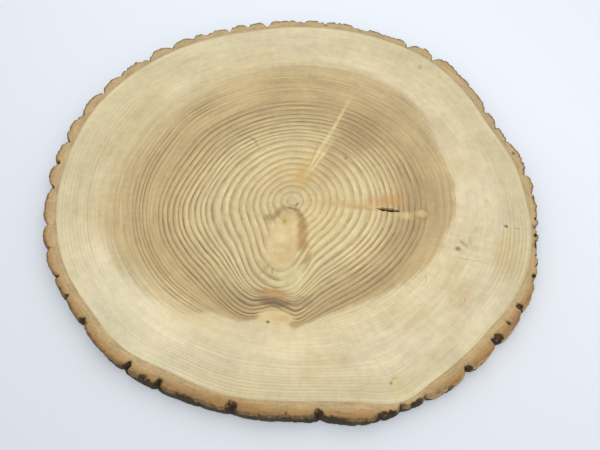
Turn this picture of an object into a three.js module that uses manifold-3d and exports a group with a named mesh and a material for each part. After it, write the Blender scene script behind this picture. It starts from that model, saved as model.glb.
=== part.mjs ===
// Wood slice: a round sawn straight across a log, with its bark still on, lying flat.
// Millimetres, +Z up. The origin is the middle of the underside.

import * as THREE from 'three';
import { mergeVertices } from 'three/addons/utils/BufferGeometryUtils.js';
import Module from 'manifold-3d';

const wasm = await Module();
wasm.setup();

const thickness = 12;
const undercut = 1.5;         // the underside's edge lies this far inside the top's
const pointsPerPlate = 12;

// Crown line of the bark, the smooth line over its plates: [degrees round the pith, radius].
const crownLine = [
  [2, 180], [12, 178.5], [23, 173.5], [36, 178], [47, 184], [56, 184], [66, 181.5], [78, 182],
  [92, 180.5], [107, 181], [127, 184.5], [148, 185.5], [165, 184], [180, 182.5], [196, 181.5],
  [210, 177.3], [228, 176.3], [244, 171.3], [264, 170.3], [278, 171.8], [287, 179.8], [296, 179.5],
  [305, 182], [315, 182.5], [334, 186], [348, 180.8],
];

// Furrows between the bark plates: [degrees round the pith, depth, squareness of the next plate].
const furrows = [
  [2.5, 2, 3], [8, 4.5, 4], [19, 2.5, 3], [24, 1.5, 3], [29.5, 3.5, 5], [43, 2, 3],
  [50.7, 7.5, 2.6], [58.5, 6.5, 3], [63.5, 1.5, 3], [72, 3, 4], [81.3, 2.5, 4], [87, 3, 5],
  [97, 5.5, 3], [102, 3, 3], [107, 4.5, 3], [113, 3.2, 3], [116.7, 4, 3], [123, 5.5, 3],
  [130, 6.5, 3], [138.5, 2.5, 3], [145, 4.8, 3], [153.5, 3, 3], [162, 5.5, 3], [168.7, 2, 3],
  [175.7, 5, 3], [186.5, 3.5, 3], [193, 3.5, 4], [200.8, 3.5, 4], [206.8, 3.8, 8], [214.3, 5, 8],
  [230.2, 6, 8], [238.6, 5.5, 8], [249, 1.6, 4], [256.5, 4.5, 7], [268.5, 1, 7], [276, 4.5, 7],
  [289, 3.5, 4], [294, 3, 3], [300, 3, 6], [311, 5, 5], [320.5, 5.5, 4], [330.8, 6, 4],
  [338.5, 3.5, 4], [346, 1.5, 3], [353, 3.5, 3], [357, 1, 3],
];

// Seasoning crack in the top: a blind slit with pointed ends, placed from the pith.
const crack = { x: 70.6, y: -7.4, length: 17, width: 3.2, depth: 5, degrees: -8 };

// Smooth closed curve of radius against angle, repeated over the full turn.
function makeCrown() {
  const closed = [...crownLine, [crownLine[0][0] + 360, crownLine[0][1]]];
  const angles = closed.map((point) => point[0]);
  const radii = closed.map((point) => point[1]);
  const crown = new THREE.CubicInterpolant(angles, radii, 1);
  crown.settings = { endingStart: THREE.WrapAroundEnding, endingEnd: THREE.WrapAroundEnding };
  const start = angles[0];
  return (degrees) => crown.evaluate(start + THREE.MathUtils.euclideanModulo(degrees - start, 360))[0];
}

// Outline of the slice: one rounded plate of bark between each furrow and the next.
function barkOutline() {
  const crownRadius = makeCrown();
  const outline = [];
  furrows.forEach(([fromAngle, fromDepth, squareness], index) => {
    const isLast = index === furrows.length - 1;
    const [nextAngle, toDepth] = furrows[(index + 1) % furrows.length];
    const toAngle = isLast ? nextAngle + 360 : nextAngle;
    for (let step = 0; step < pointsPerPlate; step += 1) {
      const along = (1 - Math.cos((Math.PI * step) / pointsPerPlate)) / 2;
      const angle = THREE.MathUtils.lerp(fromAngle, toAngle, along);
      const depth = THREE.MathUtils.lerp(fromDepth, toDepth, along);
      const shoulder = Math.abs(2 * along - 1) ** squareness;
      const radius = crownRadius(angle) - depth * shoulder;
      const radians = THREE.MathUtils.degToRad(angle);
      outline.push(new THREE.Vector2(radius * Math.cos(radians), radius * Math.sin(radians)));
    }
  });
  return outline;
}

// Round blank with furrowed sides that lean in towards the underside.
function makeBlank() {
  const shape = new THREE.Shape(barkOutline());
  const geometry = new THREE.ExtrudeGeometry(shape, { depth: thickness, bevelEnabled: false, steps: 1 });
  const positions = geometry.attributes.position;
  for (let index = 0; index < positions.count; index += 1) {
    if (positions.getZ(index) < thickness / 2) {
      const radius = Math.hypot(positions.getX(index), positions.getY(index));
      const shrink = (radius - undercut) / radius;
      positions.setXY(index, positions.getX(index) * shrink, positions.getY(index) * shrink);
    }
  }
  return geometry;
}

// Lens-shaped cutter that reaches above the top face.
function makeCrackCutter() {
  const half = crack.length / 2;
  const shape = new THREE.Shape();
  shape.moveTo(-half, 0);
  shape.quadraticCurveTo(0, -crack.width, half, 0);
  shape.quadraticCurveTo(0, crack.width, -half, 0);
  const geometry = new THREE.ExtrudeGeometry(shape, {
    depth: crack.depth * 2,
    bevelEnabled: false,
    curveSegments: 10,
  });
  geometry.rotateZ(THREE.MathUtils.degToRad(crack.degrees));
  geometry.translate(crack.x, crack.y, thickness - crack.depth);
  return geometry;
}

function toSolid(geometry) {
  geometry.deleteAttribute('normal');
  geometry.deleteAttribute('uv');
  const merged = mergeVertices(geometry);
  return new wasm.Manifold(new wasm.Mesh({
    numProp: 3,
    vertProperties: new Float32Array(merged.attributes.position.array),
    triVerts: new Uint32Array(merged.index.array),
  }));
}

function toGeometry(solid) {
  const mesh = solid.getMesh();
  const geometry = new THREE.BufferGeometry();
  geometry.setAttribute('position', new THREE.BufferAttribute(mesh.vertProperties, 3));
  geometry.setIndex(new THREE.BufferAttribute(mesh.triVerts, 1));
  geometry.computeVertexNormals();
  return geometry;
}

// Wood and bark grew as one piece, so the slice is one solid.
function makeSlice() {
  const geometry = toGeometry(toSolid(makeBlank()).subtract(toSolid(makeCrackCutter())));
  const paleWood = new THREE.MeshStandardMaterial({ color: '#d9c9a0', roughness: 0.75, metalness: 0 });
  const slice = new THREE.Mesh(geometry, paleWood);
  slice.name = 'wood_slice';
  geometry.computeBoundingBox();
  const middle = geometry.boundingBox.getCenter(new THREE.Vector3());
  slice.position.set(-middle.x, -middle.y, 0);
  return slice;
}

const group = new THREE.Group();
group.name = 'wood_slice_part';
group.add(makeSlice());

export default group;
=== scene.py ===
import math
import random

import bmesh
import bpy
import numpy as np
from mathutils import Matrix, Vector, noise


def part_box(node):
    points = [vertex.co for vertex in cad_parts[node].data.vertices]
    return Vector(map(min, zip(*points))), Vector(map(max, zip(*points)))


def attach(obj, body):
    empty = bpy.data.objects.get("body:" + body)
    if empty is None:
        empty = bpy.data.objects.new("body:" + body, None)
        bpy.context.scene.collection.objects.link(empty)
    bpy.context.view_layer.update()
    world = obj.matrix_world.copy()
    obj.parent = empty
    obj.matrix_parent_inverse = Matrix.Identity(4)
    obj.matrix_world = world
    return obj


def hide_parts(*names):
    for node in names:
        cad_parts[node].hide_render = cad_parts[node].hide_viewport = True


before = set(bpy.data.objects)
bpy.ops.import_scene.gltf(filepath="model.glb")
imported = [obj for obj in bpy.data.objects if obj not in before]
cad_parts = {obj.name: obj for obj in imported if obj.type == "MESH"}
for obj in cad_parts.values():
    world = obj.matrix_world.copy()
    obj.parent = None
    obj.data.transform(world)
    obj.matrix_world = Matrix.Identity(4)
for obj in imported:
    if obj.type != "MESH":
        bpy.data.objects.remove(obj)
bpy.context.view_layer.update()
lowest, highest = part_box("wood_slice")
thickness = highest.z - lowest.z
mm = 0.001
scene = bpy.context.scene
print("frame loaded, slice is", round(thickness / mm, 1), "mm thick")

# How the trunk grew. Angles are degrees round the pith, lengths are mm.
growth = {
    "pith": (1.15, -4.19),
    # radius of the ring whose mean radius is the key: it runs out round the big knot at 262 degrees
    "rings": {
        30: [(0, 30), (60, 31), (100, 30.5), (130, 28), (160, 28.5), (185, 30), (210, 31.5),
             (225, 34.5), (236, 40), (246, 47), (255, 52), (262, 54), (270, 50), (278, 42),
             (287, 34.5), (297, 31), (320, 29), (345, 29.5)],
        77: [(0, 78), (30, 77.5), (60, 77), (85, 74.5), (110, 72.5), (135, 72), (158, 72),
             (170, 75), (182, 79), (195, 80.5), (212, 79), (225, 79), (233, 82), (240, 86),
             (247, 90), (252, 91), (257, 88), (262, 85), (267, 88), (272, 91), (278, 86),
             (285, 80), (292, 77), (302, 75.5), (315, 75.5), (330, 77), (345, 79)],
        117: [(0, 120), (45, 119), (90, 117.5), (120, 116.5), (137, 117.5), (150, 115.5),
              (165, 116.5), (180, 117), (203, 117), (220, 115.5), (234, 113), (250, 111.5),
              (262, 110), (275, 112), (295, 114), (320, 116), (342, 118)],
        172: [(0, 172), (12, 170), (25, 166.5), (38, 170.5), (52, 175), (70, 174.5), (90, 172.5),
              (102, 171.5), (116, 174), (132, 176), (150, 176.5), (165, 174), (180, 172.5),
              (198, 170), (213, 165.5), (226, 165), (240, 159.5), (256, 159.5), (268, 158.3),
              (278, 160), (286, 165.5), (294, 174.5), (304, 171.8), (320, 171), (340, 176),
              (350, 175)],
    },
    # outer radius of each band of growth, and how many rings it holds
    "bands": [(34.5, 7), (58.8, 4), (97, 10), (104, 2), (117.5, 5), (145, 8), (172, 10)],
    "unevenness": 0.14,       # share of a ring by which its edge is out
    "seed": 7,
    # where the heartwood ends
    "heartwood": [(0, 121), (14, 120.5), (25, 122), (34, 127), (46, 132.5), (62, 134.5),
                  (90, 134), (110, 131), (125, 129), (150, 131), (168, 136), (182, 139),
                  (194, 139.5), (206, 136.5), (214, 130), (227, 121), (233, 117), (238, 109),
                  (246, 106.5), (252, 105), (256, 99.5), (259, 94), (263, 92.5), (267, 96),
                  (270, 104), (274, 103), (282, 98), (290, 97), (302, 98.5), (311, 101),
                  (322, 107), (334, 112), (348, 115.5)],
    # how brown the cut bark is
    "toast": [(0, 0.5), (40, 0.1), (90, 0), (150, 0.1), (190, 0.5), (215, 0.8), (235, 0.8),
              (248, 1.8), (257, 2.6), (266, 1.4), (285, 0.6), (300, 1.2), (320, 0.7), (345, 1.0)],
    # how strong the rings' dark lines are, how grey the outer heartwood is between them, and
    # how far the heartwood's edge fades, all against angle
    "lineStrength": [(0, 0.72), (30, 0.7), (60, 0.74), (90, 0.72), (130, 0.82), (170, 0.83),
                     (200, 0.84), (240, 1.0), (262, 1.0), (285, 0.86), (310, 0.78), (335, 0.82)],
    "greyness": [(0, 0.16), (30, 0.1), (60, 0.16), (90, 0.08), (130, 0.14), (170, 0.06), (200, 0.06),
                 (225, 0.04), (255, 0.2), (285, 0.22), (315, 0.16), (340, 0.2)],
    "edgeFade": [(0, 1.5), (30, 3), (60, 5), (90, 11), (125, 13), (150, 13), (175, 9), (200, 5),
                 (230, 3), (255, 1.5), (285, 1.8), (320, 3), (345, 2.5)],
    # how far down the rim its bark is rubbed pale
    "wear": [(0, 0.2), (40, 0), (120, 0), (180, 0.05), (215, 0.15), (235, 0.05), (255, 0),
             (280, 0), (292, 0.1), (300, 0.45), (315, 0.6), (335, 0.55), (350, 0.3)],
    # how ragged the bark is, and how far its furrows fill up on their way down
    "ragged": [(0, 2.2), (12, 1.6), (30, 1.3), (60, 1.1), (110, 1.0), (150, 1.1), (190, 1.0),
               (220, 0.8), (240, 0.6), (262, 0.6), (285, 0.9), (310, 1.2), (335, 1.6), (348, 2.4)],
    "filling": [(0, 0.25), (60, 0.2), (120, 0.2), (190, 0.3), (222, 0.6), (245, 0.7), (268, 0.7),
                (280, 0.4), (288, 0.6), (302, 0.2), (320, 0.1), (340, 0.1)],
}

# The mesh of the slice, and its bark.
slab = {
    "columns": 480,           # faces round the pith in the wood
    "barkCuts": 2,            # extra cuts that each of them gets in the bark
    "barkRows": [0.93, 0.8, 0.6, 0.4, 0.2, 0.0],   # share of the bark's width, outside in
    "underRows": [0.8, 0.4, 0.0],
    "wideRing": 3.2,          # a ring wider than this gets a loop of edges in its middle too
    "rimCuts": 9,
    "barkWidth": 10.0,        # in the blank, before the bark takes its real shape
    "undercut": 1.5,          # how far the rim leans in towards the underside
    "edgeWear": 0.35,         # how far the saw's edge has crumbled
    "furrowDrift": 1.8,       # how far a furrow wanders on its way down the rim, in degrees
    "roughness": 0.8,         # how deep the bark's lumps and crumbs are
    "chipDepth": 1.6,         # of the chips out of the sawn edge
    "leastBark": 1.2,         # the bark is nowhere thinner
    "pocketInset": 0.45,      # how far a pocket eats into the rim, as a share of its depth
    # size in mm, and seed, of the noise in each kind of unevenness
    "driftNoise": (14, 3.3),
    "lumpNoise": (5.5, 11.1),
    "crumbNoise": (2.1, 27.7),
    "tornNoise": (2.6, 63.1),
    "chipNoise": (3.4, 41.3),
}

# Broad stains in the wood, under the rings: (degrees round the pith, radius, half length
# outwards, half width, turn, colour, strength, softness of the edge).
stains = [
    (218, 113, 14, 46, 0, (210, 184, 124), 0.7, 1.0),          # gold edge of the heartwood
    (222, 142, 26, 66, 0, (240, 229, 196), 0.4, 1.2),
    (0, 98, 24, 26, 0, (168, 140, 100), 0.4, 1.2),
    (243, 90, 8, 15, 0, (122, 94, 62), 0.25, 1.2),
    (240, 132, 14, 28, 0, (230, 214, 172), 0.35, 1.2),         # paler sapwood
    (302, 137, 16, 40, 0, (232, 218, 180), 0.35, 1.2),
    (100, 160, 10, 75, 0, (234, 222, 186), 0.4, 1.0),
    (325, 161, 8, 30, 0, (234, 220, 184), 0.45, 1.0),
    (88, 20, 15, 13, 0, (198, 172, 120), 0.4, 1.2),            # browner wood over the pith
    (30, 128, 9, 26, 0, (206, 186, 144), 0.5, 1.0),
    (62, 128, 9, 24, 0, (188, 166, 122), 0.45, 1.0),
    (330, 127, 8, 16, 0, (210, 190, 148), 0.45, 1.0),
    (75, 48, 20, 26, 0, (196, 170, 122), 0.3, 1.2),
    (108, 139, 15, 42, 0, (208, 188, 142), 0.45, 1.2),
    (150, 141, 13, 46, 0, (206, 184, 134), 0.55, 1.2),
    (182, 141, 9, 26, 0, (208, 186, 138), 0.5, 1.2),
    (52, 62, 34, 12, 0, (174, 132, 86), 0.44, 1.3),            # red-brown beside the branch trace
    (50, 93, 22, 20, 0, (176, 146, 104), 0.35, 1.2),
    (300, 86, 11, 30, 0, (166, 138, 102), 0.2, 1.3),
    (340, 88, 13, 18, 0, (168, 136, 100), 0.3, 1.3),
    (262, 46, 34, 13, 0, (216, 196, 146), 0.6, 0.9),           # pale wood round the big knot
    (3, 134, 14, 12, 0, (230, 217, 180), 0.55, 0.5),
    (13, 131, 12, 10, 0, (212, 191, 146), 0.55, 0.8),
    (276, 134, 12, 9, 0, (208, 186, 142), 0.5, 0.8),           # tan patches in the sapwood
    (284, 132, 9, 8, 0, (212, 190, 144), 0.45, 0.8),
    (312, 131, 8, 14, 0, (212, 192, 146), 0.6, 0.8),
    (326, 140, 10, 15, 0, (210, 188, 144), 0.7, 0.7),
    (308, 118, 8, 14, 0, (214, 194, 150), 0.55, 0.8),
    (318, 152, 6, 12, 0, (216, 198, 154), 0.5, 0.9),
    (335, 128, 6, 9, 0, (212, 190, 144), 0.5, 0.8),
    (343, 160, 11, 14, 0, (214, 188, 136), 0.6, 0.8),
    (296, 165, 6, 6, 0, (216, 196, 132), 0.4, 1.0),
]

# Crumbled pockets in the bark: (degrees, radius, half length, half width, depth).
pockets = [
    (256.3, 166.5, 4.5, 3.8, 2.5), (290.5, 180, 7, 3.6, 3.5), (297.5, 180.5, 5, 3, 3),
    (311.3, 180, 3.2, 3.4, 3), (321.3, 179.5, 5, 3.2, 3.5), (214.8, 174.5, 4.5, 2.2, 2),
    (235.5, 172.5, 6, 1.8, 2), (245.5, 170.5, 8, 1.6, 1.5), (276.2, 167.5, 3.4, 3.4, 3),
    (331, 180.5, 2.4, 3, 2.5), (230.3, 172, 2.6, 4, 3), (238.7, 169.5, 2.4, 3.4, 2.5),
    (168.4, 179.5, 1.6, 1.3, 2), (175.7, 178, 1.5, 1.5, 2), (326, 178.8, 1.9, 1.2, 1.5),
    (9.6, 178, 1.2, 2.4, 1.5), (29.6, 173.5, 1, 2.2, 1.5), (81.2, 178, 1.3, 1.3, 1.5),
    (14.8, 173, 2.6, 1, 0.6), (200.8, 177.5, 1.6, 2, 1.5), (206.8, 175.5, 1.2, 2.4, 1.5),
    (345.1, 181.4, 2.2, 1.7, 2), (347.8, 178.9, 2.4, 1.7, 2), (350.4, 177.6, 2, 1.4, 2),
    (352.6, 177.6, 1.2, 1.2, 1.5), (355.2, 179, 1.6, 1.6, 2), (339.7, 181.6, 1.9, 1.8, 2),
    (342.6, 182.8, 1.6, 1.3, 1.5), (8.4, 177, 2.2, 2, 1.5), (12, 177, 2.6, 1, 1),
    (268.9, 167, 0.9, 1.2, 1), (23.6, 171.5, 1.4, 1.6, 1.5),
]

# The seasoning crack, where the CAD slice has it: its middle from the pith, and its size.
# This many columns of vertices on either side make room for it, until "fadeOut" mm past its ends.
crack = {"middle": (70.6, -7.4), "length": 17.0, "width": 3.4, "depth": 5.0, "turn": -8.0,
         "columns": 8, "fadeOut": 6.0}


def paint(colour):
    # screen value to the linear value that a shader works in
    linear = [((v / 255 + 0.055) / 1.055) ** 2.4 for v in colour]
    return (*linear, 1)


def closedCurve(points):
    # smooth curve through the values at their angles, closed after a full turn
    angles = np.array([p[0] for p in points], float)
    values = np.array([p[1] for p in points], float)
    angles = np.concatenate([angles[-2:] - 360, angles, angles[:2] + 360])
    values = np.concatenate([values[-2:], values, values[:2]])
    slopes = np.gradient(values, angles)

    def valueAt(degrees):
        turned = np.mod(degrees, 360)
        i = np.clip(np.searchsorted(angles, turned, side="right") - 1, 0, len(angles) - 2)
        span = angles[i + 1] - angles[i]
        t = (turned - angles[i]) / span
        lift = (2 * t**3 - 3 * t**2 + 1) * values[i] + (3 * t**2 - 2 * t**3) * values[i + 1]
        bend = (t**3 - 2 * t**2 + t) * slopes[i] + (t**3 - t**2) * slopes[i + 1]
        return lift + bend * span

    return valueAt


def smooth(value, start, end):
    t = np.clip((value - start) / (end - start), 0, 1)
    return t * t * (3 - 2 * t)


ringShapes = {age: closedCurve(points) for age, points in growth["rings"].items()}
roundPith = {name: closedCurve(growth[name]) for name in (
    "heartwood", "toast", "lineStrength", "greyness", "edgeFade", "wear", "ragged", "filling")}
woodEdge = max(ringShapes)
barkEdge = woodEdge + slab["barkWidth"]
pith = Vector((growth["pith"][0], growth["pith"][1], 0)) * mm


def grownRadius(age, degrees):
    # where the ring of that mean radius lies at an angle
    stretch = np.ones_like(age)
    last, lastStretch = 0, np.ones_like(age)
    for ringAge, shape in ringShapes.items():
        nextStretch = shape(degrees) / ringAge
        share = smooth(age, last, ringAge)
        inside = age > last
        stretch = np.where(inside, lastStretch + (nextStretch - lastStretch) * share, stretch)
        last, lastStretch = ringAge, nextStretch
    return age * stretch


def ringEdges():
    # mean radius of the end of every year's growth
    chance = random.Random(growth["seed"])
    uneven = growth["unevenness"]
    edges, start = [], 0.0
    for end, count in growth["bands"]:
        width = (end - start) / count
        for year in range(1, count):
            edges.append(start + width * (year + chance.uniform(-uneven, uneven)))
        edges.append(end)
        start = end
    return edges


def cadOutline():
    # angle and radius round the pith of the CAD slice's upper edge
    found = {}
    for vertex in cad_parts["wood_slice"].data.vertices:
        arm = (vertex.co - pith) / mm
        radius = math.hypot(arm.x, arm.y)
        if vertex.co.z > highest.z - 0.1 * thickness and radius > woodEdge * 0.8:
            found[round(math.degrees(math.atan2(arm.y, arm.x)) % 360, 3)] = radius
    angles = sorted(found)
    return np.array(angles), np.array([found[a] for a in angles])


def overFurrows(radiusAround):
    # the line over the plates: the highest within seven half degrees, evened out
    shifts = range(-7, 8)
    highestNear = np.max([np.roll(radiusAround, shift) for shift in shifts], axis=0)
    return np.mean([np.roll(highestNear, shift) for shift in shifts], axis=0)


outlineAngles, outlineRadii = cadOutline()
halfDegrees = np.arange(0, 360, 0.5)
crownRadii = overFurrows(np.interp(halfDegrees, outlineAngles, outlineRadii, period=360))
edges = ringEdges()
print("outline read,", len(edges), "growth rings")


def editOnly(obj, mode):
    bpy.ops.object.select_all(action="DESELECT")
    obj.select_set(True)
    bpy.context.view_layer.objects.active = obj
    bpy.ops.object.mode_set(mode="EDIT")
    bpy.ops.mesh.select_mode(type=mode)
    bpy.ops.mesh.select_all(action="DESELECT")


def selectWhere(obj, kind, test):
    bm = bmesh.from_edit_mesh(obj.data)
    for part in getattr(bm, kind):
        if test(part):
            part.select = True
    bm.select_flush_mode()
    bmesh.update_edit_mesh(obj.data)


def around(vertex):
    return math.hypot(vertex.co.x, vertex.co.y) / mm


def cutCap(obj, side, radii):
    # one loop of edges at each radius, and the pith closed to a point
    editOnly(obj, "FACE")
    selectWhere(obj, "faces", lambda f: len(f.verts) > 100 and f.normal.z * side > 0.5)
    last = barkEdge
    for radius in radii:
        bpy.ops.mesh.inset(thickness=(last - radius) * mm, depth=0)
        last = radius
    bpy.ops.mesh.merge(type="CENTER")
    bpy.ops.object.mode_set(mode="OBJECT")


def makeBlank():
    bpy.ops.object.select_all(action="DESELECT")
    bpy.ops.mesh.primitive_cylinder_add(
        vertices=slab["columns"], radius=barkEdge * mm, depth=thickness,
        location=(0, 0, lowest.z + thickness / 2), end_fill_type="NGON")
    obj = bpy.context.object
    obj.name = "slice"
    bpy.ops.object.transform_apply(location=True, rotation=True, scale=True)
    middles = [(a + b) / 2 for a, b in zip([0] + edges, edges) if b - a > slab["wideRing"]]
    topRows = sorted(edges[:-1] + middles, reverse=True)
    barkRows = [woodEdge + slab["barkWidth"] * share for share in slab["barkRows"]]
    underRows = [woodEdge + slab["barkWidth"] * share for share in slab["underRows"]]
    cutCap(obj, 1, barkRows + topRows)
    cutCap(obj, -1, underRows + sorted(edges[:-1], reverse=True))

    editOnly(obj, "EDGE")
    selectWhere(obj, "edges", lambda e: abs(e.verts[0].co.z - e.verts[1].co.z) > thickness / 2)
    bpy.ops.mesh.subdivide(number_cuts=slab["rimCuts"])
    bpy.ops.mesh.select_all(action="DESELECT")

    def runsRound(edge):
        one, two = edge.verts
        level = abs(one.co.z - two.co.z) < 1e-6 and abs(around(one) - around(two)) < 1e-3
        return level and around(one) > woodEdge - 0.01

    selectWhere(obj, "edges", runsRound)
    bpy.ops.mesh.subdivide(number_cuts=slab["barkCuts"])
    bpy.ops.object.mode_set(mode="OBJECT")
    return obj


def pocketAt(degrees, radius):
    # how deep a crumbled pocket is, in mm, at a place in the bark
    depth = np.zeros_like(degrees)
    for angle, middle, halfLength, halfWidth, deep in pockets:
        turn = np.mod(degrees - angle + 180, 360) - 180
        along = np.radians(turn) * middle / halfLength
        across = (radius - middle) / halfWidth
        reach = np.sqrt(along**2 + across**2)
        depth = np.maximum(depth, deep * (1 - smooth(reach, 0.45, 1.15)))
    return depth


def roughBark(degrees, height, size, seed):
    # seeded noise over the rim, the same all the way round
    arm = np.radians(degrees)
    places = np.stack([np.cos(arm) * woodEdge / size, np.sin(arm) * woodEdge / size,
                       height / size + seed], -1)
    return np.array([noise.noise(Vector(place)) for place in places])


def shapeBark(age, degrees, height, isTop, isRim):
    # from the wood's edge out to the CAD outline: radius, height, and what the materials need
    depth = thickness / mm
    down = 1 - height / depth
    drift = slab["furrowDrift"] * roughBark(degrees, height, *slab["driftNoise"]) * down
    outline = np.interp(degrees + np.where(isRim, drift, 0), outlineAngles, outlineRadii, period=360)
    lumps = roughBark(degrees, height * 0.7, *slab["lumpNoise"])
    crumbs = roughBark(degrees, height, *slab["crumbNoise"])
    flakes = 1.3 * lumps + 0.9 * crumbs
    rough = slab["roughness"] * roundPith["ragged"](degrees) * np.minimum(flakes - 0.35, 0)

    # furrows fill up on the way down, and the rim leans in
    furrow = np.interp(degrees, halfDegrees, crownRadii, period=360) - outline
    filled = roundPith["filling"](degrees) * smooth(down, 0.2, 0.75) * np.where(isRim, 1, 0)
    outer = outline + np.maximum(furrow, 0) * filled
    outer = outer - slab["undercut"] * np.maximum(down, 0)**1.3 + rough
    outer = outer - slab["edgeWear"] * (np.exp(-down * 30) + np.exp(-(1 - down) * 30))
    cambium = ringShapes[woodEdge](degrees)
    outer = np.maximum(outer, cambium + slab["leastBark"])
    share = (age - woodEdge) / slab["barkWidth"]
    radius = cambium + (outer - cambium) * share

    # crumbled pockets, and chips out of the upper edge
    torn = roughBark(degrees, age - woodEdge, *slab["tornNoise"])
    atEdge = np.interp(degrees, outlineAngles, outlineRadii, period=360) - 0.3
    pocket = pocketAt(degrees, np.where(isRim, atEdge, radius) + 1.6 * torn)
    chips = smooth(roughBark(degrees, age * 0.2, *slab["chipNoise"]), 0.12, 0.42) * slab["chipDepth"]
    sunk = pocket * smooth(share, 0.1, 0.5) * (1 + 0.5 * torn) + chips * smooth(share, 0.7, 1.0)
    height = np.where(isTop | isRim, height * (1 - sunk / depth), height)
    inset = np.where(isRim, slab["pocketInset"], 0)
    radius = radius - pocket * inset * smooth(height, depth * 0.35, depth)
    # painted shade down in the rim's deep furrows; on the rim the pocket value carries it with the
    # pockets' depth
    shaded = smooth(furrow, 1.5, 4) * 1.2 * roundPith["filling"](degrees)
    kept = {"barkDepth": radius - cambium, "barkEdge": outer - radius,
            "pocket": np.where(isRim, np.maximum(pocket, shaded), pocket), "proud": flakes}
    return radius, height, kept


def openCrack(x, y, radius, degrees, isTop):
    # columns beside the crack line up with it, and the one along its middle goes down
    middle = Vector(crack["middle"])
    turn = math.radians(crack["turn"])
    reach = crack["length"] / 2
    along = (x - middle.x) * math.cos(turn) + (y - middle.y) * math.sin(turn)
    column = np.round(np.mod(degrees + 180, 360) - 180, 2)
    step = 360 / slab["columns"]
    home = round(math.degrees(math.atan2(middle.y, middle.x)) / step) * step
    place = (column - home) / step
    near = isTop & (np.abs(radius - middle.length) < reach + crack["fadeOut"])
    near = near & (np.abs(place) < crack["columns"] + 0.5)

    part = np.clip(along / reach, -1, 1)
    gape = 0.5 * crack["width"] * np.sqrt(1 - part**2) * (1 + 0.25 * np.sin(9 * part))
    oneColumn = radius * math.radians(step)
    gap = np.abs(place) * oneColumn
    spread = np.clip(1 - (np.abs(place) - 1) / (crack["columns"] - 1), 0, 1) * (np.abs(place) > 0.5)
    pushed = np.sign(place) * (gap + (np.maximum(gape, gap * 0.2) - oneColumn) * spread)
    wantX = middle.x + along * math.cos(turn) - pushed * math.sin(turn)
    wantY = middle.y + along * math.sin(turn) + pushed * math.cos(turn)
    fade = smooth(reach + crack["fadeOut"] - np.abs(along), 0, 4)
    fade = fade * np.clip(2 - 2 * np.abs(place) / (crack["columns"] + 1), 0, 1)
    x = np.where(near, x + (wantX - x) * fade, x)
    y = np.where(near, y + (wantY - y) * fade, y)
    deepest = near & (np.abs(place) < 0.5) & (np.abs(part) < 1)
    return x, y, np.where(deepest, crack["depth"] * np.sqrt(1 - part**2), 0)


def growSlice(obj):
    # the round blank takes the trunk's real shape, and keeps what its materials need
    mesh = obj.data
    points = np.zeros(len(mesh.vertices) * 3)
    mesh.vertices.foreach_get("co", points)
    points = points.reshape(-1, 3)
    age = np.hypot(points[:, 0], points[:, 1]) / mm
    degrees = np.degrees(np.arctan2(points[:, 1], points[:, 0])) % 360
    height = (points[:, 2] - lowest.z) / mm
    depth = thickness / mm
    isBark = age > woodEdge + 0.02
    isTop = height > depth - 0.01
    isRim = age > barkEdge - 0.05

    # rows on the rim crowd towards its two edges
    rimHeight = depth * (0.5 - 0.5 * np.cos(np.pi * height / depth))
    height = np.where(isRim, rimHeight, height)
    down = 1 - height / depth

    barkRadius, barkHeight, barkKept = shapeBark(age, degrees, height, isTop, isRim)
    woodRadius = grownRadius(np.minimum(age, woodEdge), degrees)
    radius = np.where(isBark, barkRadius, woodRadius)
    height = np.where(isBark, barkHeight, height)
    arm = np.radians(degrees)
    x, y, crackDepth = openCrack(radius * np.cos(arm), radius * np.sin(arm), woodRadius, degrees, isTop)
    height = height - crackDepth

    for face in mesh.polygons:
        corner = face.vertices
        if age[corner].max() < woodEdge + 0.02:
            face.material_index = 0
        elif isRim[corner].all():
            face.material_index = 2
        else:
            face.material_index = 1

    layOutMap(mesh, x, y, degrees, rimHeight / depth)
    points[:, 0] = np.clip(pith.x + x * mm, lowest.x, highest.x)
    points[:, 1] = np.clip(pith.y + y * mm, lowest.y, highest.y)
    points[:, 2] = lowest.z + np.clip(height, 0, depth) * mm
    mesh.vertices.foreach_set("co", points.ravel())

    # what the materials read
    allEdges = np.array([0] + edges)
    store(mesh, "years", np.interp(age, allEdges, np.arange(len(allEdges))))
    store(mesh, "age", age)
    store(mesh, "heart", roundPith["heartwood"](degrees) - radius)
    store(mesh, "crackDepth", crackDepth > 0)
    for name, inWood in (("barkDepth", 0), ("barkEdge", 10), ("pocket", 0), ("proud", 0)):
        store(mesh, name, np.where(isBark, barkKept[name], inWood))
    unevenness = np.array([noise.noise(Vector((a / 16, b / 16, 4.2))) for a, b in zip(x, y)])
    stain = mesh.attributes.new("stain", "FLOAT_COLOR", "POINT")
    stain.data.foreach_set("color", stainColour(x, y, unevenness).astype(np.float32).ravel())
    storeLines(mesh, age, degrees)
    inRays = window(degrees, 290, 355, 20) * smooth(radius, 95, 112) * smooth(radius, 160, 145)
    store(mesh, "rayed", 0.12 + 0.26 * inRays)
    store(mesh, "toast", roundPith["toast"](degrees))
    store(mesh, "down", down)
    store(mesh, "worn", roundPith["wear"](degrees))
    grain = np.stack([np.cos(arm), np.sin(arm), age / woodEdge], -1)
    grain[age < 0.01] = 0
    attribute = mesh.attributes.new("grain", "FLOAT_VECTOR", "POINT")
    attribute.data.foreach_set("vector", grain.astype(np.float32).ravel())
    mesh.update()
    bpy.ops.object.shade_smooth_by_angle(angle=math.radians(50))


# The slice's own map, in shares of the square: two discs, and the rim cut into four strips.
# The discs' radii stand for "whole" mm, and a strip takes "turn" degrees of the rim.
discLayout = {"whole": 188.0, "upMiddle": (0.366, 0.634), "upRadius": 0.36,
              "downMiddle": (0.778, 0.222), "downRadius": 0.214}
stripLayout = {"start": 0.008, "turn": 90.0, "length": 0.54, "height": 0.055, "pitch": 0.063}


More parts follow.
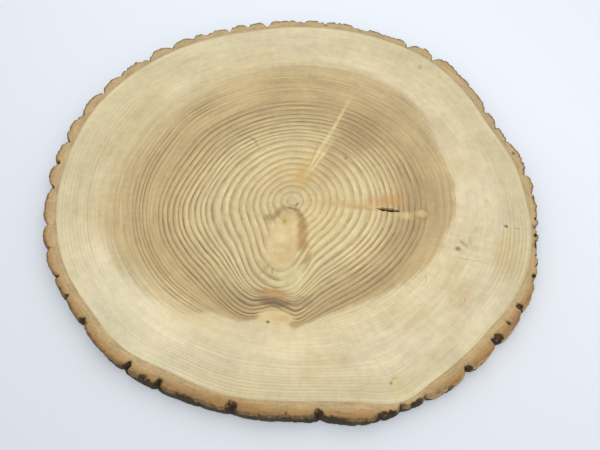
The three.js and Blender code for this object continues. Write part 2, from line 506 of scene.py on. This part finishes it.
def layOutMap(mesh, x, y, degrees, level):
    # the sawn face as a large disc, the underside as a smaller one, the rim as strips between
    corners = np.zeros(len(mesh.loops), int)
    mesh.loops.foreach_get("vertex_index", corners)
    sizes = np.array([face.loop_total for face in mesh.polygons])
    face = np.repeat(np.arange(len(sizes)), sizes)
    slot = np.array([polygon.material_index for polygon in mesh.polygons])[face]
    faceLevel = (np.bincount(face, level[corners]) / sizes)[face]
    arm = np.radians(degrees[corners])
    faceArm = np.bincount(face, np.cos(arm)) + 1j * np.bincount(face, np.sin(arm))
    faceTurn = np.mod(np.degrees(np.angle(faceArm))[face], 360)
    turn = np.mod(degrees[corners] - faceTurn + 180, 360) - 180 + faceTurn
    strip = np.floor(faceTurn / stripLayout["turn"])
    along = turn / stripLayout["turn"] - strip
    stripU = stripLayout["start"] + along * stripLayout["length"]
    stripV = stripLayout["start"] + strip * stripLayout["pitch"] + level[corners] * stripLayout["height"]
    isUp = faceLevel > 0.5
    reach = np.where(isUp, discLayout["upRadius"], discLayout["downRadius"]) / discLayout["whole"]
    middleU = np.where(isUp, discLayout["upMiddle"][0], discLayout["downMiddle"][0])
    middleV = np.where(isUp, discLayout["upMiddle"][1], discLayout["downMiddle"][1])
    u = np.where(slot == 2, stripU, middleU + x[corners] * reach)
    v = np.where(slot == 2, stripV, middleV + y[corners] * reach)
    layer = mesh.uv_layers.new(name="OFBake")
    layer.data.foreach_set("uv", np.stack([u, v], -1).astype(np.float32).ravel())


def window(degrees, start, end, soft):
    # 1 between two angles, fading over the soft degrees at either end
    middle, half = (start + end) / 2, (end - start) / 2
    away = np.abs(np.mod(degrees - middle + 180, 360) - 180)
    return smooth(away, half + soft / 2, half - soft / 2)


# how strong the dark line of each year is inside the heartwood's outer bands, against its age
innerLines = [(0, 0.44), (22, 0.5), (32, 0.62), (52, 0.7), (62, 0.78), (74, 0.95), (95, 0.95),
              (98, 0.2), (104, 0.12)]


def storeLines(mesh, age, degrees):
    # how strong the dark line of each year is in heartwood and sapwood, and the shade between
    lineAges, lineShares = zip(*innerLines)
    inner = np.interp(age, lineAges, lineShares) * roundPith["lineStrength"](degrees)
    left = window(degrees, 122, 236, 18)
    right = window(degrees, -22, 78, 16)
    outer = 0.14 + 0.55 * left * smooth(age, 104, 107) * smooth(age, 119, 117)
    outer = outer + 0.3 * right * smooth(age, 115, 117) * smooth(age, 119, 118)
    store(mesh, "late", np.where(age < 104, inner, outer))

    front = window(degrees, 236, 288, 14)
    calm = 1 - 0.6 * window(degrees, 293, 336, 12) - 0.6 * window(degrees, 198, 234, 16)
    sap = 0.06 + 0.25 * smooth(age, 132, 140) * front + 0.16 * smooth(age, 150, 156) * calm
    sap = sap + 0.1 * left * smooth(age, 140, 150) * calm
    sap = sap + 0.45 * window(degrees, 336, 353, 8) * smooth(age, 148, 151)
    sap = sap + 0.6 * window(degrees, 142, 204, 30) * smooth(age, 147.9, 148.4) * smooth(age, 151, 150.6)
    sap = sap + 0.45 * smooth(age, 122, 100)
    store(mesh, "sapLate", sap)
    store(mesh, "shade", roundPith["greyness"](degrees) * smooth(age, 62, 84) * smooth(age, 99, 95))
    store(mesh, "fuzz", roundPith["edgeFade"](degrees))


def stainColour(x, y, unevenness):
    # the stains laid over one another: colour, and how much it covers
    colour = np.zeros((len(x), 3))
    cover = np.zeros(len(x))
    for degrees, radius, halfLength, halfWidth, turn, tone, strength, softness in stains:
        arm = math.radians(degrees)
        turned = arm + math.radians(turn)
        right = x - radius * math.cos(arm)
        up = y - radius * math.sin(arm)
        along = (right * math.cos(turned) + up * math.sin(turned)) / halfLength
        across = (up * math.cos(turned) - right * math.sin(turned)) / halfWidth
        reach = np.hypot(along, across) + 0.35 * unevenness
        share = strength * smooth(reach, 1 + softness / 2, 1 - softness / 2)
        colour = colour * (1 - share[:, None]) + np.array(paint(tone)[:3]) * share[:, None]
        cover = cover * (1 - share) + share
    return np.column_stack([colour / np.maximum(cover, 1e-6)[:, None], cover])


def store(mesh, name, values):
    attribute = mesh.attributes.new(name, "FLOAT", "POINT")
    attribute.data.foreach_set("value", values.astype(np.float32))


sliceObject = makeBlank()
print("blank cut,", len(sliceObject.data.vertices), "vertices")
growSlice(sliceObject)
print("slice grown")

# The look of the sawn wood. Colours are screen values from 0 to 255, lengths are mm.
wood = {
    # colour of the pale wood against the mean radius of the ring
    "heartTones": [(0, (220, 198, 144)), (30, (225, 202, 146)), (50, (226, 205, 152)),
                   (72, (220, 197, 143)), (90, (207, 181, 127)), (97, (199, 174, 122)),
                   (117, (201, 176, 126)), (135, (202, 179, 131))],
    "sapTones": [(90, (224, 206, 161)), (118, (226, 209, 167)), (140, (224, 209, 168)),
                 (152, (219, 204, 164)), (158, (215, 200, 158)), (168, (216, 202, 160)),
                 (172, (219, 206, 165))],
    "ringLine": (126, 96, 50),
    "earlyLine": (232, 216, 172),
    "sapLine": (190, 166, 118),
    "shade": (142, 112, 72),
    # painted shade inside the crack
    "crackShade": (44, 32, 22),
    "edgeDrift": 6,        # how far the heartwood's edge wanders
    "lineWobble": 0.05,    # share of a ring
    "roughness": 0.62,
}

# Knots and small marks, over the rings, given as the stains are.
knotMarks = [
    (259.5, 35, 24, 11, -3, (227, 201, 146), 0.88, 0.5),       # the big knot
    (268, 42, 11, 4, -6, (206, 172, 118), 0.4, 1.3),
    (262, 12, 6, 5.5, 0, (192, 166, 112), 0.5, 1.3),
    (263, 50, 8, 8, 0, (214, 184, 130), 0.5, 1.2),
    (254, 30, 12, 3, -8, (232, 214, 166), 0.5, 1.2),
    (256, 39, 3, 5, 20, (204, 176, 126), 0.35, 0.9),
    (269, 66, 10, 7.5, 0, (220, 204, 148), 0.7, 0.9),          # pale wood below it
    (275, 63, 5, 2.5, 20, (226, 214, 166), 0.5, 0.9),
    (260, 78.5, 3.8, 12, 0, (176, 130, 68), 0.7, 1.2),        # rust brown, then a dark cap
    (261, 79, 1.2, 6, 6, (214, 170, 108), 0.6, 0.9),
    (262, 85.3, 3.4, 13, 0, (112, 84, 56), 0.75, 1.0),
    (275, 84, 5, 7, 0, (140, 118, 92), 0.45, 1.1),
    (263.5, 97.5, 5.8, 12.5, 0, (222, 198, 142), 0.9, 0.5),    # yellow notch in the boundary
    (266, 97, 2.4, 6, 12, (206, 178, 120), 0.5, 0.9),
    (69, 25, 9.5, 5.4, 0, (206, 160, 88), 0.65, 1.4),         # orange at the foot of the trace
    (0.5, 71, 13, 4.6, 0, (196, 150, 88), 0.7, 1.4),        # orange wood along the crack
    (354.5, 55, 14, 2.0, 0, (186, 140, 82), 0.6, 1.3),
    (357, 40, 24, 3.4, 0, (202, 168, 112), 0.5, 1.4),
    (355, 59.5, 5, 1.6, 0, (222, 192, 134), 0.5, 1.0),
    (351.5, 83.5, 7.5, 2.8, 0, (220, 194, 134), 0.6, 1.3),    # pale knot past its end
    (353.2, 95.6, 5.8, 4.7, 0, (158, 124, 74), 0.65, 1.0),
    (353.6, 94.8, 4.0, 3.1, 0, (215, 186, 126), 0.75, 1.0),
]
knotWander = (260, 4)      # how fine, and how far in mm, the knot's marks wander
traceMarks = [
    (63.7, 46, 22, 3.4, -3, (216, 194, 134), 0.5, 1.4),        # the branch trace
    (65.2, 68, 32, 1.3, -1, (226, 208, 150), 0.75, 1.3),
    (62.0, 43, 17, 1.0, -4, (226, 208, 150), 0.7, 1.2),
    (66.2, 41, 15, 0.9, 2, (226, 206, 146), 0.6, 1.2),
    (64.2, 38, 12, 0.6, -2, (178, 148, 92), 0.5, 1.2),
    (68.4, 44, 12, 0.7, 3, (182, 148, 94), 0.35, 1.2),
]
smallMarks = [
    (15, 2.5, 4.5, 4, 0, (206, 196, 152), 0.5, 0.9),           # the pith
    (322, 4.7, 0.7, 2.3, 0, (120, 92, 54), 0.7, 1.0),
    (268, 6.2, 1.2, 5, -12, (128, 96, 52), 0.7, 1.2),         # brown arc over the knot
    (225, 15, 8, 2.2, 8, (146, 116, 64), 0.7, 1.4),
    (218, 22.5, 3.4, 2.8, 0, (146, 122, 70), 0.65, 1.3),
    (297, 13, 6.5, 2.1, 5, (158, 120, 66), 0.75, 1.3),
    (290, 22, 5.5, 3.2, -14, (164, 124, 68), 0.75, 1.3),
    (284.5, 30, 9, 3.5, -12, (172, 130, 74), 0.72, 1.4),
    (281, 38.5, 5, 3.8, 0, (174, 130, 72), 0.7, 1.4),
    (253.5, 17, 5.5, 3.8, 0, (204, 180, 106), 0.7, 1.2),      # green-yellow eye of the knot
    (253.5, 18, 2, 1.1, 0, (160, 142, 60), 0.7, 1.0),
    (283, 50, 5.5, 1.7, -42, (132, 108, 66), 0.55, 1.1),
    (257, 61, 3, 0.7, 8, (158, 118, 70), 0.6, 1.0),
    (252, 60, 6, 1.6, -20, (180, 140, 90), 0.4, 1.2),
    (260.8, 101.2, 1.0, 1.5, 0, (110, 84, 42), 0.8, 0.9),
    (341, 125.5, 1.9, 1.8, 0, (140, 106, 44), 0.8, 1.1),      # pin knots and their tails
    (343.4, 128.5, 4.5, 1.2, -32, (184, 152, 92), 0.65, 1.1),
    (345, 132.5, 1.3, 3.8, 10, (192, 166, 110), 0.55, 1.1),
    (342.5, 137.5, 3.5, 3, 0, (198, 184, 150), 0.45, 1.1),
    (349.8, 137, 2.6, 2.6, 0, (200, 188, 154), 0.4, 1.1),
    (352, 156.7, 1.6, 1.4, 0, (112, 86, 38), 0.85, 1.0),
    (351.7, 164.2, 2.4, 1, 0, (190, 152, 90), 0.6, 1.1),
    (350, 159.5, 4, 2.2, 40, (212, 196, 140), 0.5, 1.2),
    (294.5, 160, 1.2, 1.3, 20, (128, 98, 52), 0.75, 0.9),
    (295.6, 158, 1, 3.2, -8, (190, 162, 100), 0.5, 0.9),
    (117.5, 65, 4, 1.2, 24, (146, 120, 76), 0.5, 1.2),         # smudges
    (117.5, 59, 2.6, 1.2, 0, (154, 128, 82), 0.4, 1.2),
    (44.5, 56.5, 1.5, 1.3, 0, (132, 104, 62), 0.6, 0.9),
    (52, 165, 2.5, 1.5, 30, (170, 146, 98), 0.5, 0.9),
    (100, 72, 6, 4, 0, (176, 160, 112), 0.4, 1.2),
    (0, 143, 2, 1.6, 0, (194, 180, 146), 0.45, 1.1),
    (338.5, 138, 11, 0.35, 8, (176, 152, 108), 0.5, 1.2),      # hair cracks
    (325, 115, 3, 0.35, -60, (170, 142, 96), 0.55, 1.2),
    (325.5, 146, 2.2, 0.5, -70, (166, 140, 94), 0.55, 1.2),
]


def feed(tree, socket, value):
    if isinstance(value, bpy.types.NodeSocket):
        tree.links.new(value, socket)
    else:
        socket.default_value = value


def calc(tree, operation, *values, clamp=False):
    node = tree.nodes.new("ShaderNodeMath")
    node.operation = operation
    node.use_clamp = clamp
    for socket, value in zip(node.inputs, values):
        feed(tree, socket, value)
    return node.outputs[0]


def lengthwise(tree, operation, *values):
    node = tree.nodes.new("ShaderNodeVectorMath")
    node.operation = operation
    for socket, value in zip(node.inputs, values):
        feed(tree, socket, value)
    return node.outputs["Value" if operation in ("LENGTH", "DOT_PRODUCT") else "Vector"]


def between(tree, value, low, high, start=0.0, end=1.0):
    node = tree.nodes.new("ShaderNodeMapRange")
    node.interpolation_type = "SMOOTHSTEP"
    for name, given in (("Value", value), ("From Min", low), ("From Max", high),
                        ("To Min", start), ("To Max", end)):
        feed(tree, node.inputs[name], given)
    return node.outputs["Result"]


def blend(tree, share, under, over, mode="MIX"):
    node = tree.nodes.new("ShaderNodeMix")
    node.data_type = "RGBA"
    node.blend_type = mode
    for index, given in ((0, share), (6, under), (7, over)):
        feed(tree, node.inputs[index], given)
    return node.outputs[2]


def read(tree, name, output="Fac"):
    node = tree.nodes.new("ShaderNodeAttribute")
    node.attribute_name = name
    return node.outputs[output]


def mottle(tree, places, scale, detail=2.0, roughness=0.5):
    node = tree.nodes.new("ShaderNodeTexNoise")
    feed(tree, node.inputs["Vector"], places)
    node.inputs["Scale"].default_value = scale
    node.inputs["Detail"].default_value = detail
    node.inputs["Roughness"].default_value = roughness
    return node.outputs["Fac"]


def tones(tree, value, stops, whole):
    # colour ramp whose stops are given in the value's own unit
    node = tree.nodes.new("ShaderNodeValToRGB")
    feed(tree, node.inputs[0], calc(tree, "DIVIDE", value, whole))
    ramp = node.color_ramp
    for place, colour in stops[1:-1]:
        ramp.elements.new(place / whole).color = paint(colour)
    ramp.elements[0].position = stops[0][0] / whole
    ramp.elements[0].color = paint(stops[0][1])
    ramp.elements[-1].position = stops[-1][0] / whole
    ramp.elements[-1].color = paint(stops[-1][1])
    return node.outputs["Color"]


def wander(tree, places, scale, reach):
    # the same places, pushed about by noise
    noiseNode = tree.nodes.new("ShaderNodeTexNoise")
    feed(tree, noiseNode.inputs["Vector"], places)
    noiseNode.inputs["Scale"].default_value = scale
    noiseNode.inputs["Detail"].default_value = 3
    push = lengthwise(tree, "SUBTRACT", noiseNode.outputs["Color"], (0.5, 0.5, 0.5))
    push = lengthwise(tree, "MULTIPLY", push, (reach * mm, reach * mm, reach * mm))
    return lengthwise(tree, "ADD", places, push)


def markShare(tree, places, mark):
    # 1 inside the mark, fading to 0 at its edge
    degrees, radius, halfLength, halfWidth, turn, colour, strength, softness = mark
    arm = math.radians(degrees)
    node = tree.nodes.new("ShaderNodeMapping")
    node.vector_type = "TEXTURE"
    feed(tree, node.inputs["Vector"], places)
    node.inputs["Location"].default_value = (pith.x + radius * math.cos(arm) * mm,
                                             pith.y + radius * math.sin(arm) * mm, highest.z)
    node.inputs["Rotation"].default_value = (0, 0, arm + math.radians(turn))
    node.inputs["Scale"].default_value = (halfLength * mm, halfWidth * mm, 30 * mm)
    reach = lengthwise(tree, "LENGTH", node.outputs["Vector"])
    return between(tree, reach, 1 + softness / 2, 1 - softness / 2, 0, strength)


def startMaterial(name):
    material = bpy.data.materials.new(name)
    material.use_nodes = True
    tree = material.node_tree
    return material, tree, tree.nodes["Principled BSDF"]


def finishMaterial(tree, shader, colour, roughness, relief, distance, strength=1.0):
    feed(tree, shader.inputs["Base Color"], colour)
    feed(tree, shader.inputs["Roughness"], roughness)
    bump = tree.nodes.new("ShaderNodeBump")
    bump.inputs["Strength"].default_value = strength
    bump.inputs["Distance"].default_value = distance * mm
    feed(tree, bump.inputs["Height"], relief)
    feed(tree, shader.inputs["Normal"], bump.outputs["Normal"])


def placesOf(tree):
    return tree.nodes.new("ShaderNodeTexCoord").outputs["Object"]


def sawnWood():
    material, tree, shader = startMaterial("sawnWood")
    places = placesOf(tree)
    grain = read(tree, "grain", "Vector")
    age = read(tree, "age")
    years = read(tree, "years")

    alongRings = mottle(tree, lengthwise(tree, "MULTIPLY", grain, (2.5, 2.5, 95)), 1.0, 3)
    fineRings = mottle(tree, lengthwise(tree, "MULTIPLY", grain, (5, 5, 230)), 1.0, 2)
    rays = mottle(tree, lengthwise(tree, "MULTIPLY", grain, (44, 44, 3.5)), 1.0, 3)
    broad = mottle(tree, places, 28, 3)
    crumbly = mottle(tree, places, 190, 3, 0.6)
    speckle = mottle(tree, places, 900, 2)

    # heartwood and sapwood, with a fuzzy edge
    drift = calc(tree, "SUBTRACT", mottle(tree, places, 110, 4, 0.6), 0.5)
    drift = calc(tree, "MULTIPLY", drift, wood["edgeDrift"])
    inside = calc(tree, "ADD", read(tree, "heart"), drift)
    soft = read(tree, "fuzz")
    isHeart = between(tree, inside, calc(tree, "MULTIPLY", soft, -1), soft)
    stainAmount = read(tree, "stain", "Alpha")
    stainTone = read(tree, "stain", "Color")
    heart = blend(tree, stainAmount, tones(tree, age, wood["heartTones"], woodEdge), stainTone)
    sap = blend(tree, stainAmount, tones(tree, age, wood["sapTones"], woodEdge), stainTone)

    # every year ends in a dark line that comes on slowly and stops short
    wobble = calc(tree, "SUBTRACT", mottle(tree, places, 160, 2), 0.5)
    ringPlace = calc(tree, "FRACT", calc(tree, "MULTIPLY_ADD", wobble, wood["lineWobble"] * 2, years))
    rise = between(tree, ringPlace, 0.22, 0.8)
    stop = between(tree, ringPlace, 1.0, 0.88)
    line = calc(tree, "MULTIPLY", rise, stop)
    pale = between(tree, calc(tree, "PINGPONG", calc(tree, "ADD", ringPlace, 0.9), 0.5), 0.28, 0.46)
    patches = mottle(tree, lengthwise(tree, "MULTIPLY", grain, (4.5, 4.5, 30)), 1.0, 3, 0.6)
    patchy = between(tree, patches, 0.3, 0.68, 0.55, 1.08)
    late = read(tree, "late")
    line = calc(tree, "MULTIPLY", line, patchy)
    heartLine = calc(tree, "MULTIPLY", line, late, clamp=True)
    sapLine = calc(tree, "MULTIPLY", line, read(tree, "sapLate"), clamp=True)
    heart = blend(tree, calc(tree, "MULTIPLY", pale, calc(tree, "MULTIPLY", late, 0.6)),
                  heart, paint(wood["earlyLine"]))
    heart = blend(tree, heartLine, heart, paint(wood["ringLine"]))
    sap = blend(tree, sapLine, sap, paint(wood["sapLine"]))
    colour = blend(tree, isHeart, sap, heart)

    # the outer heartwood's shade, then knots, marks and pale wood
    colour = blend(tree, read(tree, "shade"), colour, paint(wood["shade"]))
    for marks, size, reach in ((knotMarks, *knotWander), (traceMarks, 60, 2.5), (smallMarks, 420, 2.2)):
        where = wander(tree, places, size, reach)
        for mark in marks:
            colour = blend(tree, markShare(tree, where, mark), colour, paint(mark[5]))

    # streaks along the rings and the rays, fewer on the big knot, and slow changes over the face
    streaky = calc(tree, "MULTIPLY", calc(tree, "MULTIPLY_ADD", isHeart, 0.6, 0.3),
                   between(tree, age, 20, 75, 0.55, 1.0))
    onKnot = markShare(tree, wander(tree, places, *knotWander), knotMarks[0])
    streaky = calc(tree, "MULTIPLY", streaky, calc(tree, "SUBTRACT", 1.05, onKnot))
    brightness = 1.0
    for share, pattern, darkest, palest in ((streaky, alongRings, -0.11, 0.08),
                                            (streaky, fineRings, -0.1, 0.08),
                                            (read(tree, "rayed"), rays, -0.1, 0.08),
                                            (0.9, broad, -0.07, 0.06),
                                            (0.8, patches, -0.07, 0.05),
                                            (0.6, crumbly, -0.08, 0.07),
                                            (0.35, speckle, -0.1, 0.08)):
        change = between(tree, pattern, 0.3, 0.7, darkest, palest)
        brightness = calc(tree, "MULTIPLY_ADD", change, share, brightness)
    colour = blend(tree, 1.0, colour, brightness, "MULTIPLY")

    # the crack is painted dark inside, as painted shade
    dark = between(tree, read(tree, "crackDepth"), 0.15, 0.6)
    colour = blend(tree, dark, colour, paint(wood["crackShade"]))

    roughness = calc(tree, "MULTIPLY_ADD", calc(tree, "SUBTRACT", fineRings, 0.5), 0.3, wood["roughness"])
    relief = calc(tree, "MULTIPLY_ADD", line, 0.5, calc(tree, "MULTIPLY", fineRings, 0.6))
    relief = calc(tree, "MULTIPLY_ADD", speckle, 0.5, calc(tree, "MULTIPLY_ADD", rays, 0.5, relief))
    finishMaterial(tree, shader, colour, roughness, relief, 0.12, 0.6)
    return material


bark = {
    # colour of the cut bark against its depth from the wood, mm
    "cutTones": [(0, (204, 180, 138)), (0.6, (190, 162, 124)), (1.6, (190, 166, 122)),
                 (4.0, (197, 170, 122)), (6.5, (194, 163, 114)), (9, (178, 142, 92)),
                 (13, (156, 118, 70))],
    "toast": 2.2,          # how many mm deeper browned bark looks
    "cutEdge": (98, 76, 42),
    # painted shade in the bark's pockets, furrows and sunken lumps
    "hollowShade": (64, 46, 22),
    "crumbs": (138, 106, 62),
    "outside": (50, 42, 24),
    "moss": (78, 80, 38),
    "rubbed": (150, 116, 70),
    "fresh": (204, 166, 112),
    "ash": (96, 82, 54),
}


def cutBark():
    material, tree, shader = startMaterial("cutBark")
    places = placesOf(tree)
    grain = read(tree, "grain", "Vector")
    layers = mottle(tree, lengthwise(tree, "MULTIPLY", grain, (14, 14, 190)), 1.0, 3)
    fibres = mottle(tree, places, 420, 4, 0.65)
    blotches = mottle(tree, places, 75, 3)
    deep = calc(tree, "MULTIPLY_ADD", calc(tree, "SUBTRACT", blotches, 0.5), 5.0, read(tree, "barkDepth"))
    deep = calc(tree, "MULTIPLY_ADD", read(tree, "toast"), bark["toast"], deep)
    colour = tones(tree, deep, bark["cutTones"], bark["cutTones"][-1][0])
    brightness = calc(tree, "ADD", between(tree, layers, 0.3, 0.7, 0.86, 1.1),
                      between(tree, fibres, 0.3, 0.7, -0.14, 0.1))
    brightness = calc(tree, "ADD", brightness, between(tree, blotches, 0.35, 0.65, -0.07, 0.07))
    colour = blend(tree, 1.0, colour, brightness, "MULTIPLY")
    # a dark crust along the edge, where it isn't rubbed off
    edge = calc(tree, "MULTIPLY_ADD", calc(tree, "SUBTRACT", fibres, 0.5), 3.0, read(tree, "barkEdge"))
    crust = calc(tree, "MULTIPLY_ADD", read(tree, "worn"), -1.5, 1.0, clamp=True)
    crust = calc(tree, "MULTIPLY", crust, between(tree, edge, 1.9, 0.0, 0, 0.85))
    colour = blend(tree, crust, colour, paint(bark["cutEdge"]))
    # pockets in the cut bark: real crumbs, with painted shade in their holes
    pocket = calc(tree, "MULTIPLY_ADD", calc(tree, "SUBTRACT", fibres, 0.5), 2.6, read(tree, "pocket"))
    torn = blend(tree, between(tree, fibres, 0.5, 0.62), paint(bark["hollowShade"]), paint(bark["crumbs"]))
    colour = blend(tree, between(tree, pocket, 0.15, 0.9), colour, torn)
    roughness = calc(tree, "MULTIPLY_ADD", fibres, 0.2, 0.72)
    relief = calc(tree, "ADD", fibres, calc(tree, "MULTIPLY", layers, 0.7))
    finishMaterial(tree, shader, colour, roughness, relief, 0.6, 0.8)
    return material


def outerBark():
    material, tree, shader = startMaterial("outerBark")
    places = placesOf(tree)
    lumps = mottle(tree, places, 170, 4, 0.65)
    crumbs = mottle(tree, places, 560, 4, 0.7)
    patches = mottle(tree, places, 60, 3)
    colour = blend(tree, between(tree, lumps, 0.4, 0.72), paint(bark["outside"]), paint(bark["ash"]))
    colour = blend(tree, between(tree, patches, 0.48, 0.66, 0, 0.75), colour, paint(bark["moss"]))

    # the upper part of the rim is rubbed pale, further down where it is more worn
    worn = read(tree, "worn")
    # the pocket value: depth of the pockets, and on the rim also painted shade in the furrows
    pocket = read(tree, "pocket")
    depth = calc(tree, "SUBTRACT", calc(tree, "MULTIPLY_ADD", lumps, 1.3, read(tree, "down")), worn)
    pale = blend(tree, between(tree, worn, 0.1, 0.5), paint(bark["rubbed"]), paint(bark["fresh"]))
    rub = calc(tree, "MULTIPLY", between(tree, depth, 0.95, 0.77), between(tree, pocket, 0.4, 0.1))
    colour = blend(tree, rub, colour, pale)
    colour = blend(tree, 1.0, colour, between(tree, crumbs, 0.3, 0.7, 0.6, 1.3), "MULTIPLY")
    # painted shade in the pockets, the rim's furrows and the sunken lumps
    hollowShade = calc(tree, "MAXIMUM", between(tree, pocket, 0.1, 0.6, 0, 0.85),
                  between(tree, read(tree, "proud"), -0.1, -0.9, 0, 0.9))
    colour = blend(tree, hollowShade, colour, paint(bark["hollowShade"]))
    roughness = calc(tree, "MULTIPLY_ADD", crumbs, 0.15, 0.8)
    relief = calc(tree, "ADD", crumbs, calc(tree, "MULTIPLY", lumps, 1.5))
    finishMaterial(tree, shader, colour, roughness, relief, 1.6, 1.0)
    return material


for material in (sawnWood(), cutBark(), outerBark()):
    sliceObject.data.materials.append(material)
print("materials mixed")

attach(sliceObject, "root")
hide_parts("wood_slice")

# Floor, light and camera.
studio = {
    "floorSize": 6.0,
    "floorColour": (0.76, 0.80, 0.85, 1),
    "floorGlow": 0.35,               # its own light, which keeps the slice's shadow pale
    "floorLightLean": (0.25, 0.36, 0),    # painted light: how much paler the floor is painted for each metre towards the key light
    "floorLightLevels": (1.06, 0.92, 1.14),   # painted light on the floor: in the middle, at the least, at the most
    "floorShadeFall": (0.14, 0.6, 0.14),  # painted shade: where the floor starts and ends to darken outwards, in metres, and how much
    "floorGap": 0.0002,              # the floor lies this far under the slice
    "worldColour": (0.97, 0.98, 1.0, 1),
    "worldLight": 0.84,
    "keyPlace": (0.5, 0.65, 1.8),
    "keySize": 2.8,
    "keyEnergy": 13,
    "look": (7.0, -24.8, 12.0),      # mm, where the camera points
    "distance": 0.8,
    "elevation": 57.0,
    "lens": 66.27,
}

bpy.ops.object.select_all(action="DESELECT")
bpy.ops.mesh.primitive_plane_add(size=studio["floorSize"], location=(0, 0, lowest.z - studio["floorGap"]))
floor = bpy.context.object
floor.name = "floor"
floorPaint = bpy.data.materials.new("floorPaint")
floorPaint.use_nodes = True
floorTree = floorPaint.node_tree
floorShader = floorTree.nodes["Principled BSDF"]
# painted light and shade on the floor: paler towards the key light, darker far out from the middle
paintedLightTowardsKey = lengthwise(floorTree, "DOT_PRODUCT", placesOf(floorTree), studio["floorLightLean"])
middleTone, leastTone, mostTone = studio["floorLightLevels"]
paler = calc(floorTree, "ADD", paintedLightTowardsKey, middleTone)
paler = calc(floorTree, "MINIMUM", calc(floorTree, "MAXIMUM", paler, leastTone), mostTone)
fallStart, fallEnd, fallDepth = studio["floorShadeFall"]
out = lengthwise(floorTree, "LENGTH", placesOf(floorTree))
paler = calc(floorTree, "SUBTRACT", paler, between(floorTree, out, fallStart, fallEnd, 0, fallDepth))
floorTone = blend(floorTree, 1.0, studio["floorColour"], paler, "MULTIPLY")
glow = studio["floorGlow"]
litTone = blend(floorTree, 1.0, floorTone, (1 - glow, 1 - glow, 1 - glow, 1), "MULTIPLY")
feed(floorTree, floorShader.inputs["Base Color"], litTone)
feed(floorTree, floorShader.inputs["Emission Color"], floorTone)
floorShader.inputs["Emission Strength"].default_value = glow
floorShader.inputs["Roughness"].default_value = 0.9
floor.data.materials.append(floorPaint)

world = bpy.data.worlds.new("studio")
scene.world = world
world.use_nodes = True
sky = world.node_tree.nodes["Background"]
sky.inputs["Color"].default_value = studio["worldColour"]
sky.inputs["Strength"].default_value = studio["worldLight"]

scene.view_settings.view_transform = "Standard"

bpy.ops.object.light_add(type="AREA", location=studio["keyPlace"])
key = bpy.context.object
key.data.size = studio["keySize"]
key.data.energy = studio["keyEnergy"]
key.rotation_euler = (Vector((0, 0, 0)) - key.location).to_track_quat("-Z", "Y").to_euler()

bpy.ops.object.camera_add()
camera = bpy.context.object
look = Vector(studio["look"]) * mm
tilt = math.radians(studio["elevation"])
camera.location = look + Vector((0, -math.cos(tilt), math.sin(tilt))) * studio["distance"]
camera.rotation_euler = (math.pi / 2 - tilt, 0, 0)
camera.data.lens = studio["lens"]
camera.data.sensor_width = 36
camera.data.clip_start = 0.01
scene.camera = camera
print("stage set")
